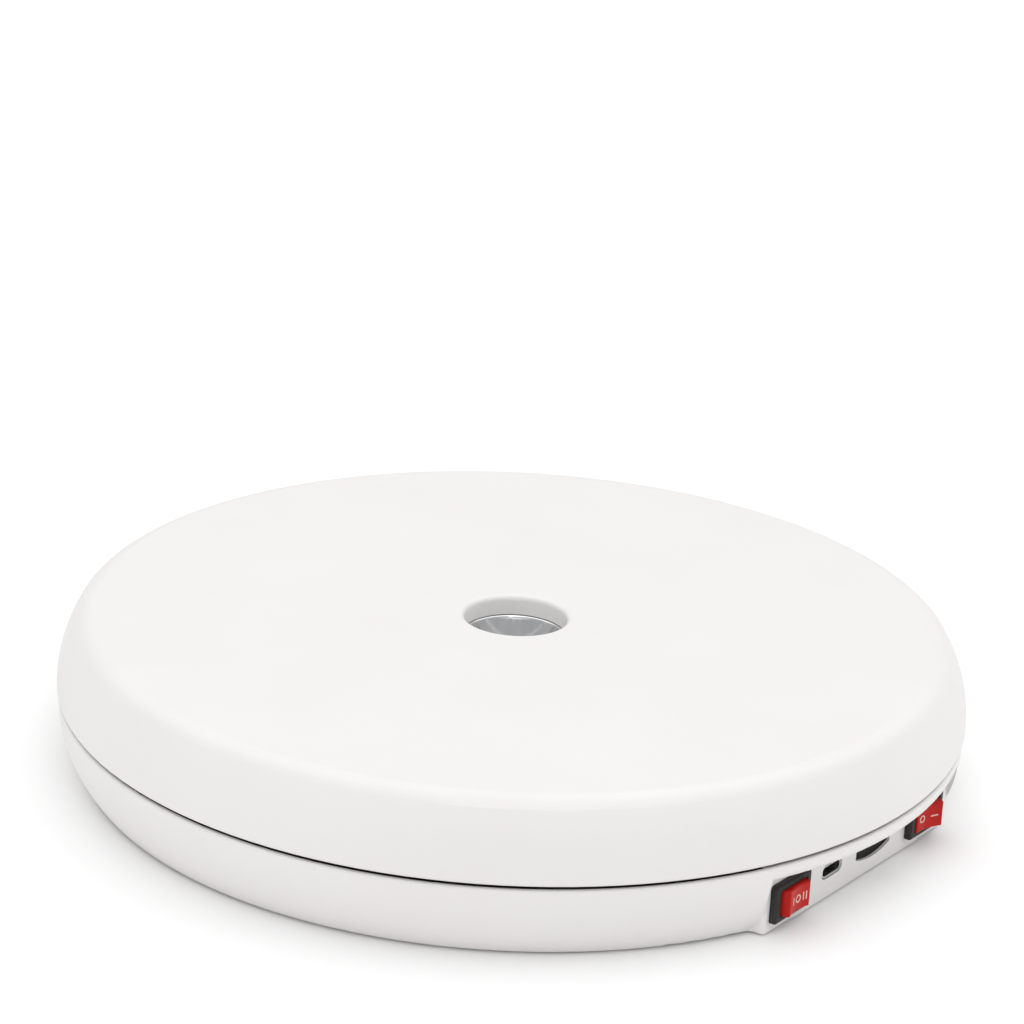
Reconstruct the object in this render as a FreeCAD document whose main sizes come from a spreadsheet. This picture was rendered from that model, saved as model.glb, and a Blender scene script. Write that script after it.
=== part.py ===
import FreeCAD, Part
import math
import os

import Sketcher
from FreeCAD import Placement, Rotation, Vector
from fcgear import fcgear, involute

# Motorised display turntable, 250 mm across: a shallow white bowl that holds the drive and the
# electronics, and a white platter that turns on it around a lit, mirrored well.
# Millimetres. +Z is up, the origin is on the standing plane below the centre of the platter,
# and the control panel faces -Y.

# ---------------------------------------------------------------- driving dimensions

DRIVING_DIMENSIONS = {
    # platter
    "platter_radius": 125.0,
    "platter_top": 43.0,
    "platter_edge": 21.75,
    "platter_side_arc": 33.0,
    "platter_top_round": 5.5,
    "platter_edge_round": 1.3,
    "platter_skin": 3.2,
    "platter_wall": 3.0,
    "hole_radius": 14.2,
    "hole_round": 1.4,
    "hole_collar": 1.5,
    "collar_bottom": 37.45,
    # bowl
    "foot_height": 0.5,
    "parting_gap": 1.0,
    "base_radius": 124.6,
    "base_side_arc": 30.0,
    "rim_round": 0.9,
    "base_floor": 2.4,
    "base_wall": 2.6,
    "rim_wall": 1.3,
    "bottom_round": 1.2,
    "deck_bottom": 18.0,
    "deck_thickness": 2.2,
    "dust_ring_radius": 118.5,
    "dust_ring_height": 3.8,
    # control panel
    "panel_distance": 113.35,
    "panel_half_width": 44.1,
    "panel_cut_margin": 1.7,
    "panel_roof": 16.6,
    "panel_root": 98.0,
    "panel_wall": 2.2,
    "panel_corner_round": 1.3,
    "panel_blend_round": 3.8,
    "panel_foot_round": 0.7,
    "lip_round": 2.2,
    "hole_fit": 0.2,
    # rocker switches
    "left_switch_offset": -33.8,
    "right_switch_offset": 32.45,
    "switch_level": 8.35,
    "bezel_width": 16.5,
    "bezel_height": 10.5,
    "bezel_depth": 2.0,
    "bezel_round": 0.9,
    "housing_width": 13.2,
    "housing_height": 8.8,
    "housing_depth": 12.5,
    "pocket_width": 12.6,
    "pocket_height": 7.4,
    "pocket_depth": 8.5,
    "rocker_height": 7.0,
    "rocker_barrel": 6.0,
    "rocker_face_half": 4.65,
    "rocker_face_rise": 5.4,
    "rocker_face_dip": 0.7,
    "pivot_depth": 1.5,
    "pivot_pin_radius": 0.9,
    "pivot_hole_radius": 0.96,
    "rocker_throw": 15.0,
    # sockets
    "usb_offset": -12.5,
    "usb_level": 7.9,
    "usb_width": 8.9,
    "usb_height": 3.2,
    "usb_cutout_margin": 0.45,
    "card_offset": 8.0,
    "card_level": 7.0,
    "card_slot_width": 17.0,
    "card_slot_height": 2.6,
    "card_wall": 0.9,
    "card_plate_width": 18.8,
    "card_plate_height": 5.2,
    "card_plate_level": 6.5,
    "card_plate_thickness": 1.2,
    "card_socket_width": 13.0,
    "card_socket_room": 11.4,
    "card_socket_depth": 14.6,
    "card_scoop_radius": 25.0,
    "lamp_offset": 0.6,
    "lamp_level": 11.8,
    "lamp_hole_radius": 2.0,
    "lamp_radius": 1.25,
    "lamp_leg_spacing": 0.5,
    "lamp_leg_width": 0.4,
    # electronics in the bowl
    "board_thickness": 1.6,
    "board_depth": 27.0,
    "board_half_width": 23.5,
    "battery_x": 60.0,
    "battery_y": 24.0,
    "battery_width": 34.0,
    "battery_length": 60.0,
    "battery_height": 8.0,
    "speaker_x": -58.0,
    "speaker_y": 22.0,
    "speaker_radius": 20.5,
    "speaker_inner_radius": 17.5,
    "speaker_height": 6.0,
    "speaker_lug": 22.0,
    "magnet_radius": 10.0,
    "magnet_height": 4.0,
    "lead_radius": 1.1,
    "lead_run": 14.0,
    # column, bearing and lit well
    "column_bore": 17.0,
    "column_radius": 20.0,
    "column_top": 36.4,
    "shoulder_radius": 21.0,
    "flange_radius": 30.0,
    "flange_height": 2.0,
    "bearing_bottom": 27.5,
    "bearing_width": 7.0,
    "bearing_radius": 26.0,
    "inner_race_radius": 21.9,
    "outer_race_bore": 24.1,
    "ball_circle": 23.0,
    "ball_radius": 1.75,
    "ball_clearance": 0.05,
    "cup_bottom": 22.8,
    "cup_throat": 5.5,
    "cup_knee": 27.0,
    "cup_knee_radius": 11.5,
    "cup_mouth": 13.5,
    "cup_bend": 6.5,
    "cup_skin": 0.9,
    "cup_lip_round": 0.5,
    "lamp_board_radius": 13.5,
    "lamp_board_thickness": 1.4,
    # drive
    "gear_module": 1.0,
    "gear_thickness": 4.8,
    "gear_bore": 25.0,
    "shaft_distance": 45.15,
    "shaft_radius": 2.5,
    "shaft_hole_radius": 2.56,
    "motor_radius": 17.5,
    "motor_height": 14.0,
    "motor_shaft_offset": 8.0,
    "motor_ear_span": 21.0,
    # support rollers
    "roller_circle": 100.0,
    "roller_radius": 5.0,
    "roller_width": 6.0,
    "roller_axis_height": 28.0,
    "roller_bore": 1.56,
    "axle_radius": 1.5,
    "track_gap": 0.05,
    "bracket_plate": 2.0,
    # screws and posts
    "screw_shank": 1.2,
    "screw_pilot": 1.25,
    "screw_clearance": 1.7,
    "screw_head": 2.8,
    "post_circle": 110.0,
    "post_radius": 4.2,
    "foot_circle": 98.0,
    "foot_radius": 7.0,
}

GEAR_TEETH = 75
PINION_TEETH = 15
PRESSURE_ANGLE = 20
BALL_COUNT = 20
POST_ANGLES = [0, 60, 120, 180, 240, 300]
FOOT_ANGLES = [45, 135, 225, 315]
ROLLER_ANGLES = [45, 135, 225, 315]

doc = FreeCAD.newDocument("turntable")
sheet = doc.addObject("Spreadsheet::Sheet", "dims")
for row, (alias, value) in enumerate(DRIVING_DIMENSIONS.items(), start=1):
    sheet.set(f"A{row}", alias)
    sheet.set(f"B{row}", str(value))
    sheet.setAlias(f"B{row}", alias)
doc.recompute()

finished = []


class Size:
    """A length: its number now, and the sheet formula that gives it."""

    def __init__(self, number, formula):
        self.number = float(number)
        self.formula = formula

    def __add__(self, other):
        other = as_size(other)
        return Size(self.number + other.number, f"({self.formula} + {other.formula})")

    def __sub__(self, other):
        other = as_size(other)
        return Size(self.number - other.number, f"({self.formula} - {other.formula})")

    def __mul__(self, other):
        other = as_size(other)
        return Size(self.number * other.number, f"({self.formula} * {other.formula})")

    def __truediv__(self, other):
        other = as_size(other)
        return Size(self.number / other.number, f"({self.formula} / {other.formula})")

    def __radd__(self, other):
        return as_size(other) + self

    def __rsub__(self, other):
        return as_size(other) - self

    def __rmul__(self, other):
        return as_size(other) * self

    def __neg__(self):
        return self * -1

    def root(self):
        return Size(math.sqrt(self.number), f"sqrt({self.formula})")


def as_size(value):
    if isinstance(value, Size):
        return value
    return Size(value, f"({value:.6f})")


def cell(alias):
    return Size(sheet.get(alias), f"dims.{alias}")


def chord(radius, offset):
    """Half the chord of a circle of this radius at this distance from its centre."""
    return (radius * radius - offset * offset).root()


# ---------------------------------------------------------------- building helpers

def place(item, x=0, y=0, z=0, turn=None):
    sizes = [as_size(x), as_size(y), as_size(z)]
    position = Vector(*[size.number for size in sizes])
    item.Placement = Placement(position, turn or Rotation())
    for letter, size in zip("xyz", sizes):
        item.setExpression(f"Placement.Base.{letter}", size.formula)
    return item


def polar(radius, degrees):
    radius = as_size(radius)
    return radius * math.cos(math.radians(degrees)), radius * math.sin(math.radians(degrees))


def about_z(degrees):
    return Rotation(Vector(0, 0, 1), degrees)


ALONG_X = Rotation(Vector(0, 1, 0), 90)
INTO_PANEL = Rotation(Vector(1, 0, 0), -90)


def bind(item, **sizes):
    for name, size in sizes.items():
        size = as_size(size)
        setattr(item, name, size.number)
        item.setExpression(name, size.formula)
    return item


def box(name, x, y, z, length, width, height):
    """A box whose lowest corner is at x, y, z."""
    item = bind(doc.addObject("Part::Box", name), Length=length, Width=width, Height=height)
    return place(item, x, y, z)


def centred_box(name, x, y, z, length, width, height):
    """A box whose footprint is centred on x, y and which stands on z."""
    return box(name, x - as_size(length) / 2, y - as_size(width) / 2, z, length, width, height)


def cylinder(name, radius, height, x=0, y=0, z=0, turn=None):
    item = bind(doc.addObject("Part::Cylinder", name), Radius=radius, Height=height)
    return place(item, x, y, z, turn)


def ball(name, radius, x, y, z):
    return place(bind(doc.addObject("Part::Sphere", name), Radius=radius), x, y, z)


def torus(name, ring, tube, z):
    return place(bind(doc.addObject("Part::Torus", name), Radius1=ring, Radius2=tube), 0, 0, z)


def fuse(name, items):
    item = doc.addObject("Part::MultiFuse", name)
    item.Shapes = items
    return item


def cut(name, base, tools):
    item = doc.addObject("Part::Cut", name)
    item.Base = base
    item.Tool = tools[0] if len(tools) == 1 else fuse(f"{name}_tools", tools)
    return item


def group(name, items):
    item = doc.addObject("Part::Compound", name)
    item.Links = items
    return item


def tube(name, outer, inner, height, z, x=0, y=0):
    wall = cylinder(f"{name}_wall", outer, height, x, y, z)
    bore = cylinder(f"{name}_bore", inner, as_size(height) + 2, x, y, as_size(z) - 1)
    return cut(name, wall, [bore])


def rounded(name, base, radius, wanted):
    """Rounds the edges of base that wanted accepts."""
    doc.recompute()
    numbers = [i for i, edge in enumerate(base.Shape.Edges, start=1) if wanted(edge)]
    if not numbers:
        raise ValueError(f"{name}: no edge to round")
    item = doc.addObject("Part::Fillet", name)
    item.Base = base
    item.Edges = [(i, as_size(radius).number, as_size(radius).number) for i in numbers]
    return item


def finish(item, label):
    item.Label = label
    finished.append(item)
    return item


def origin_plane(body, role):
    for feature in body.Origin.OriginFeatures:
        if feature.Role == role:
            return feature
    raise ValueError(role)


def arc_centre(start, end, radius, side):
    """Centre of the arc from start to end; side is 1 for an arc that runs anticlockwise."""
    middle = (start + end) * 0.5
    half = (end - start).Length / 2
    across = (end - start).normalize()
    normal = Vector(-across.y, across.x, 0)
    return middle + normal * side * math.sqrt(max(radius * radius - half * half, 0))


def sketch_edge(start, end, arc):
    """The sketch geometry of one side, and which of its ends are its start and end."""
    if arc is None:
        return Part.LineSegment(start, end), 1, 2
    radius, side = arc[0].number, arc[1]
    centre = arc_centre(start, end, radius, side)
    first, last = (start, end) if side > 0 else (end, start)
    angles = [math.atan2(p.y - centre.y, p.x - centre.x) for p in (first, last)]
    circle = Part.Circle(centre, Vector(0, 0, 1), radius)
    curve = Part.ArcOfCircle(circle, angles[0], angles[1])
    return (curve, 1, 2) if side > 0 else (curve, 2, 1)


def outline(body, name, role, corners, level=0):
    """A closed sketch through the corners (x, y) or (x, y, radius, side).

    Each corner is fixed by two distances from the sheet. A corner with a radius is reached
    by an arc of that radius.
    """
    sketch = body.newObject("Sketcher::SketchObject", name)
    sketch.AttachmentSupport = [(origin_plane(body, role), "")]
    sketch.MapMode = "FlatFace"
    sketch.setExpression("AttachmentOffset.Base.z", as_size(level).formula)
    corners = [tuple(as_size(v) for v in corner[:3]) + tuple(corner[3:]) for corner in corners]
    points = [Vector(corner[0].number, corner[1].number, 0) for corner in corners]
    sides = []
    for i, corner in enumerate(corners):
        arc = corner[2:] if len(corner) == 4 else None
        curve, start, end = sketch_edge(points[i - 1], points[i], arc)
        number = sketch.addGeometry(curve, False)
        sides.append((number, start, end))
        if arc:
            index = sketch.addConstraint(Sketcher.Constraint("Radius", number, arc[0].number))
            sketch.setExpression(f"Constraints[{index}]", arc[0].formula)
    for i, (number, start, end) in enumerate(sides):
        following, following_start, _ = sides[(i + 1) % len(sides)]
        sketch.addConstraint(
            Sketcher.Constraint("Coincident", number, end, following, following_start))
        for kind, size in (("DistanceX", corners[i][0]), ("DistanceY", corners[i][1])):
            index = sketch.addConstraint(
                Sketcher.Constraint(kind, -1, 1, number, end, size.number))
            sketch.setExpression(f"Constraints[{index}]", size.formula)
    return sketch


def turned(name, corners):
    """A body turned about Z from an outline of (radius, height) corners."""
    body = doc.addObject("PartDesign::Body", name)
    sketch = outline(body, f"{name}_outline", "XZ_Plane", corners)
    revolution = body.newObject("PartDesign::Revolution", f"{name}_turned")
    revolution.Profile = sketch
    revolution.ReferenceAxis = (sketch, ["V_Axis"])
    revolution.Angle = 360
    sketch.Visibility = False
    return body


def extruded(name, role, corners, length, level=0, midplane=False):
    """A body padded from an outline on one of its origin planes."""
    body = doc.addObject("PartDesign::Body", name)
    sketch = outline(body, f"{name}_outline", role, corners, level)
    pad = body.newObject("PartDesign::Pad", f"{name}_pad")
    pad.Profile = sketch
    pad.Midplane = midplane
    bind(pad, Length=length)
    sketch.Visibility = False
    return body


def screw(name, x, y, seat, head_radius, head_height, shank_radius, length, down=True):
    """A pan-head screw. seat is the level that its head rests on."""
    if down:
        head = cylinder(f"{name}_head", head_radius, head_height, x, y, seat)
        shank = cylinder(f"{name}_shank", shank_radius, length, x, y, as_size(seat) - length)
    else:
        head_bottom = as_size(seat) - head_height
        head = cylinder(f"{name}_head", head_radius, head_height, x, y, head_bottom)
        shank = cylinder(f"{name}_shank", shank_radius, length, x, y, seat)
    return fuse(name, [head, shank])


# ---------------------------------------------------------------- shared levels

deck_top = cell("deck_bottom") + cell("deck_thickness")
rim_top = cell("platter_edge") - cell("parting_gap")
floor_top = cell("foot_height") + cell("base_floor")
platter_ceiling = cell("platter_top") - cell("platter_skin")
panel_inside = cell("panel_distance") - cell("panel_wall")
bearing_top = cell("bearing_bottom") + cell("bearing_width")
bearing_middle = cell("bearing_bottom") + cell("bearing_width") / 2
gear_bottom = cell("bearing_bottom") - cell("gear_thickness")
track_bottom = cell("roller_axis_height") + cell("roller_radius") + cell("track_gap")
board_top = cell("usb_level") - cell("usb_height") / 2
board_bottom = board_top - cell("board_thickness")
board_front = panel_inside - 0.3
board_back = cell("board_depth") - board_front


# ---------------------------------------------------------------- bowl

def bowl_wall(level, inset=0):
    """Radius of the bowl's curved side at a level, moved inwards by inset."""
    centre_level = rim_top - cell("rim_round")
    centre_radius = cell("base_radius") - cell("base_side_arc")
    return centre_radius + chord(cell("base_side_arc") - inset, centre_level - level)


def make_bowl_solid():
    bottom = cell("foot_height")
    edge = cell("rim_round")
    foot_of_side = bottom + cell("bottom_round") / 2
    return turned("bowl_solid", [
        (0, bottom),
        (bowl_wall(bottom) - cell("bottom_round") / 2, bottom),
        (bowl_wall(foot_of_side), foot_of_side, cell("bottom_round"), 1),
        (cell("base_radius"), rim_top - edge, cell("base_side_arc"), 1),
        (cell("base_radius") - edge, rim_top, edge, 1),
        (0, rim_top),
    ])


def make_panel_block():
    """The control panel's block: its ends stand out of the tapering bowl and blend back into it."""
    half = cell("panel_half_width")
    face = -cell("panel_distance")
    corner = cell("panel_corner_round")
    blend = cell("panel_blend_round")
    bowl = bowl_wall(cell("foot_height"))
    blend_x = half + blend
    blend_y = -chord(bowl + blend, blend_x)
    reach = bowl / (bowl + blend)
    root = -cell("panel_root")
    body = extruded("panel_block", "XY_Plane", [
        (half - corner, face),
        (half, face + corner, corner, 1),
        (half, blend_y),
        (blend_x * reach, blend_y * reach, blend, -1),
        (half - 4, root),
        (4 - half, root),
        (-blend_x * reach, blend_y * reach),
        (-half, blend_y, blend, -1),
        (-half, face + corner),
        (corner - half, face, corner, 1),
    ], cell("panel_roof") - cell("foot_height"), cell("foot_height"))
    return rounded("panel_block_round", body, cell("panel_foot_round"), is_panel_bottom_edge)


def is_panel_bottom_edge(edge):
    """The sharp bottom edge along the panel's face and its two rounded corners."""
    front = edge.BoundBox.YMax < -cell("panel_distance").number + 2.5
    return front and edge.BoundBox.ZMax < cell("foot_height").number + 0.01


def make_bowl_cavity():
    """The room inside the bowl, with the thick lip over the control panel left standing."""
    inner = cell("base_wall")
    ledge = cell("base_radius") - cell("rim_wall")
    above = rim_top + 1
    room = turned("bowl_room", [
        (0, floor_top),
        (bowl_wall(floor_top, inner), floor_top),
        (bowl_wall(cell("deck_bottom"), inner), cell("deck_bottom"), cell("base_side_arc") - inner, 1),
        (ledge, cell("deck_bottom")),
        (ledge, above),
        (0, above),
    ])
    half = cell("panel_half_width") + 2
    lip = box("bowl_lip", -half, -cell("base_radius"), 0, half * 2,
              cell("base_radius") - panel_inside, deck_top)
    return cut("bowl_cavity", room, [lip])


def make_switch_hole(side):
    width = cell("housing_width") + cell("hole_fit")
    height = cell("housing_height") + cell("hole_fit")
    return centred_box(f"{side}_switch_hole", cell(f"{side}_switch_offset"),
                       -cell("panel_distance"), cell("switch_level") - height / 2, width, 10, height)


def make_usb_hole():
    margin = cell("usb_cutout_margin")
    height = cell("usb_height") + margin * 2
    width = cell("usb_width") + margin * 2
    body = centred_box("usb_hole_box", cell("usb_offset"), -cell("panel_distance"),
                       cell("usb_level") - height / 2, width, 10, height)
    return rounded("usb_hole", body, height / 2 - 0.15, runs_along_y)


def runs_along_y(edge):
    return edge.BoundBox.YLength > 0.99 * edge.Length


def make_card_hole():
    """The card slot. Its lower edge is a shallow arc, which makes room for a fingertip."""
    half = cell("card_slot_width") / 2
    top = cell("card_level") + cell("card_slot_height") / 2
    bottom = cell("card_level") - cell("card_slot_height") / 2
    middle = cell("card_offset")
    return extruded("card_hole", "XZ_Plane", [
        (middle - half, bottom),
        (middle + half, bottom, cell("card_scoop_radius"), 1),
        (middle + half, top),
        (middle - half, top),
    ], 10, cell("panel_distance") - 5)


def make_card_recess():
    """Thins the panel's wall from behind, where the card socket's front plate sits."""
    face = -cell("panel_distance")
    fit = cell("hole_fit") / 2
    height = cell("card_plate_height") + fit * 2
    return centred_box("card_recess", cell("card_offset"),
                       face + cell("card_wall") + 2, cell("card_plate_level") - height / 2,
                       cell("card_plate_width") + fit * 2, 4, height)


def make_grille_holes():
    speaker_x, speaker_y = cell("speaker_x"), cell("speaker_y")
    holes = [cylinder("grille_hole", 1.3, 5, speaker_x, speaker_y, 0)]
    for ring, count in ((5.0, 6), (10.0, 12), (15.0, 18)):
        for step in range(count):
            x, y = polar(ring, 360.0 * step / count)
            holes.append(cylinder(f"grille_hole_{count}_{step}", 1.3, 5, speaker_x + x,
                                  speaker_y + y, 0))
    return holes


def make_base_shell():
    cut_half = cell("panel_half_width") + cell("panel_cut_margin")
    face_cut = box("face_cut", -cut_half, -cell("panel_distance") - 20, 0, cut_half * 2, 20,
                   cell("panel_roof"))
    faced = cut("bowl_faced", make_bowl_solid(), [face_cut])
    body = fuse("bowl_body", [faced, make_panel_block()])
    hollow = cut("bowl_hollow", body, [make_bowl_cavity()])
    softened = rounded("bowl_softened", hollow, cell("lip_round"), is_lip_edge)
    posts = []
    drills = [make_switch_hole("left"), make_switch_hole("right"), make_usb_hole(),
              make_card_hole(), make_card_recess()]
    drills.append(cylinder("lamp_hole", cell("lamp_hole_radius"), 10, cell("lamp_offset"),
                           -cell("panel_distance") - 5, cell("lamp_level"), INTO_PANEL))
    for number, degrees in enumerate(POST_ANGLES, start=1):
        x, y = polar(cell("post_circle"), degrees)
        posts.append(cylinder(f"post_{number}", cell("post_radius"),
                              cell("deck_bottom") - floor_top + 1, x, y, floor_top - 1))
        drills.append(cylinder(f"post_drill_{number}", cell("screw_clearance"), 30, x, y, 0))
        drills.append(cylinder(f"post_sink_{number}", cell("screw_head") + 0.3, 6, x, y, 0))
    for number, degrees in enumerate(FOOT_ANGLES, start=1):
        x, y = polar(cell("foot_circle"), degrees)
        drills.append(cylinder(f"foot_recess_{number}", cell("foot_radius"),
                               cell("foot_height") * 2, x, y, 0))
    for side in (-1, 1):
        x, y = board_screw_place(side)
        posts.append(cylinder(f"board_post_{side}", 3, board_bottom - floor_top + 1,
                              x, y, floor_top - 1))
        drills.append(cylinder(f"board_pilot_{side}", cell("screw_pilot"), 4, x, y,
                               cell("foot_height") + 1))
    solid = fuse("bowl_with_posts", [softened] + posts)
    return finish(cut("base_shell", solid, drills + make_grille_holes()), "base_shell")


def is_lip_edge(edge):
    """The outer lower edge of the lip that overhangs the control panel."""
    roof = cell("panel_roof").number
    flat = abs(edge.BoundBox.ZMin - roof) < 0.01 and abs(edge.BoundBox.ZMax - roof) < 0.01
    return flat and edge.BoundBox.YMin < -cell("panel_distance").number - 5


def make_feet():
    radius = cell("foot_radius")
    thickness = cell("foot_height") * 2
    for number, degrees in enumerate(FOOT_ANGLES, start=1):
        x, y = polar(cell("foot_circle"), degrees)
        foot = turned(f"foot_{number}", [
            (0, 0),
            (radius - 0.6, 0),
            (radius, 0.6, 0.6, 1),
            (radius, thickness),
            (0, thickness),
        ])
        finish(place(foot, x, y, 0), f"foot_{number}")


def make_deck_plate():
    """The dark plate that closes the bowl, with a dust ring just inside the parting gap."""
    radius = cell("base_radius") - cell("rim_wall") - 0.2
    plate = cylinder("deck_disc", radius, cell("deck_thickness"), 0, 0, cell("deck_bottom"))
    ring = tube("dust_ring", cell("dust_ring_radius"), cell("dust_ring_radius") - 1.5,
                cell("dust_ring_height") + 0.5, deck_top - 0.5)
    lip_half = cell("panel_half_width") + 2.2
    notch = box("deck_notch", -lip_half, -radius - 1, 0, lip_half * 2,
                radius + 1 - panel_inside + 0.2, 40)
    pieces = [plate, ring]
    drills = [notch, cylinder("deck_wire_hole", 2.5, 40)]
    shaft_hole = cell("shaft_hole_radius") * 2
    drills.append(cylinder("deck_shaft_hole", shaft_hole, 30, 0, cell("shaft_distance"), 0))
    for number, degrees in enumerate(POST_ANGLES, start=1):
        x, y = polar(cell("post_circle"), degrees)
        pieces.append(cylinder(f"deck_post_{number}", 3.5, 6.5, x, y, deck_top - 0.5))
        drills.append(cylinder(f"deck_pilot_{number}", cell("screw_pilot"), 20, x, y, 10))
    for side in (-1, 1):
        drills.append(cylinder(f"deck_motor_hole_{side}", cell("screw_clearance"), 20,
                               cell("motor_ear_span") * side, motor_centre(), 10))
    for number, degrees in enumerate(ROLLER_ANGLES, start=1):
        for side in (-1, 1):
            x, y = bracket_screw_place(degrees, side)
            drills.append(cylinder(f"deck_bracket_pilot_{number}_{side}", cell("screw_pilot"),
                                   20, x, y, 10))
    for number in range(4):
        x, y = polar(column_screw_circle(), 45 + 90 * number)
        drills.append(cylinder(f"deck_column_hole_{number}", cell("screw_clearance"), 20, x, y, 10))
    finish(cut("deck_plate", fuse("deck_body", pieces), drills), "deck_plate")


def make_deck_screws():
    """Six screws driven up through the bowl's posts into the deck plate."""
    screws = []
    for number, degrees in enumerate(POST_ANGLES, start=1):
        x, y = polar(cell("post_circle"), degrees)
        screws.append(screw(f"deck_screw_{number}", x, y, 6, cell("screw_head"), 2,
                            cell("screw_shank"), 18.5, down=False))
    finish(group("deck_screws", screws), "deck_screws")


# ---------------------------------------------------------------- column, bearing and lit well

def column_screw_circle():
    return cell("flange_radius") - 4


def make_center_column():
    """The hollow column that carries the bearing and holds the mirrored cup."""
    groove = bearing_top + 0.05
    column = turned("column_turned", [
        (cell("column_bore"), deck_top),
        (cell("flange_radius"), deck_top),
        (cell("flange_radius"), deck_top + cell("flange_height")),
        (cell("shoulder_radius"), deck_top + cell("flange_height")),
        (cell("shoulder_radius"), cell("bearing_bottom")),
        (cell("column_radius"), cell("bearing_bottom")),
        (cell("column_radius"), groove),
        (cell("column_radius") - 0.8, groove),
        (cell("column_radius") - 0.8, groove + 1.1),
        (cell("column_radius"), groove + 1.1),
        (cell("column_radius"), cell("column_top")),
        (cell("column_bore"), cell("column_top")),
    ])
    pilots = []
    for number in range(4):
        x, y = polar(column_screw_circle(), 45 + 90 * number)
        pilots.append(cylinder(f"column_pilot_{number}", cell("screw_pilot"), 20, x, y, 10))
    finish(cut("center_column", column, pilots), "center_column")


def make_column_screws():
    screws = []
    for number in range(4):
        x, y = polar(column_screw_circle(), 45 + 90 * number)
        screws.append(screw(f"column_screw_{number}", x, y, cell("deck_bottom"),
                            cell("screw_head"), 1.8, cell("screw_shank"), 4, down=False))
    finish(group("column_screws", screws), "column_screws")


def make_retaining_ring():
    ring = tube("retaining_ring", cell("inner_race_radius") - 0.1, cell("column_radius") - 0.8, 1,
                bearing_top + 0.1)
    finish(ring, "retaining_ring")


def make_bearing():
    """A thin-section ball bearing: races, cage and balls."""
    groove_radius = cell("ball_radius") + cell("ball_clearance")
    inner = tube("inner_race_ring", cell("inner_race_radius"), cell("column_radius"),
                 cell("bearing_width"), cell("bearing_bottom"))
    inner_groove = torus("inner_groove", cell("ball_circle"), groove_radius, bearing_middle)
    finish(cut("bearing_inner_race", inner, [inner_groove]), "bearing_inner_race")
    outer = tube("outer_race_ring", cell("bearing_radius"), cell("outer_race_bore"),
                 cell("bearing_width"), cell("bearing_bottom"))
    outer_groove = torus("outer_groove", cell("ball_circle"), groove_radius, bearing_middle)
    finish(cut("bearing_outer_race", outer, [outer_groove]), "bearing_outer_race")
    balls = []
    windows = []
    for step in range(BALL_COUNT):
        degrees = 360.0 * step / BALL_COUNT
        x, y = polar(cell("ball_circle"), degrees)
        balls.append(ball(f"ball_{step}", cell("ball_radius"), x, y, bearing_middle))
        start_x, start_y = polar(cell("ball_circle") - 3, degrees)
        windows.append(cylinder(f"cage_window_{step}", groove_radius, 6, start_x, start_y,
                                bearing_middle, about_z(degrees) * ALONG_X))
    cage = tube("cage_ring", cell("ball_circle") + 0.7, cell("ball_circle") - 0.7, 5.4,
                bearing_middle - 2.7)
    finish(cut("bearing_cage", cage, windows), "bearing_cage")
    finish(group("bearing_balls", balls), "bearing_balls")


def make_lit_well():
    skin = cell("cup_skin")
    bend = cell("cup_bend")
    rim = cell("column_top") + skin
    lip = cell("cup_lip_round")
    cup = turned("reflector_cup", [
        (cell("cup_knee_radius"), cell("cup_knee")),
        (cell("cup_throat"), cell("cup_bottom"), bend, -1),
        (cell("cup_throat"), cell("cup_bottom") - skin),
        (cell("cup_knee_radius") + skin, cell("cup_knee"), bend + skin, 1),
        (cell("cup_mouth") + skin, cell("column_top")),
        (cell("column_radius") - 0.2, cell("column_top")),
        (cell("column_radius") - 0.2, rim),
        (cell("cup_mouth") + lip, rim),
        (cell("cup_mouth"), rim - lip, lip, 1),
    ])
    finish(cup, "reflector_cup")
    board_face = deck_top + cell("lamp_board_thickness")
    board = cylinder("led_board", cell("lamp_board_radius"), cell("lamp_board_thickness"),
                     0, 0, deck_top)
    finish(board, "led_board")
    chip = centred_box("led_chip", 0, 0, board_face, 5, 5, 0.5)
    dome = ball("led_dome", 1.8, 0, 0, board_face + 0.5)
    below = centred_box("led_dome_below", 0, 0, board_face - 4, 8, 8, 4)
    finish(cut("led_emitter", fuse("led_body", [chip, dome]), [below]), "led_emitter")


# ---------------------------------------------------------------- platter and drive

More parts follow.
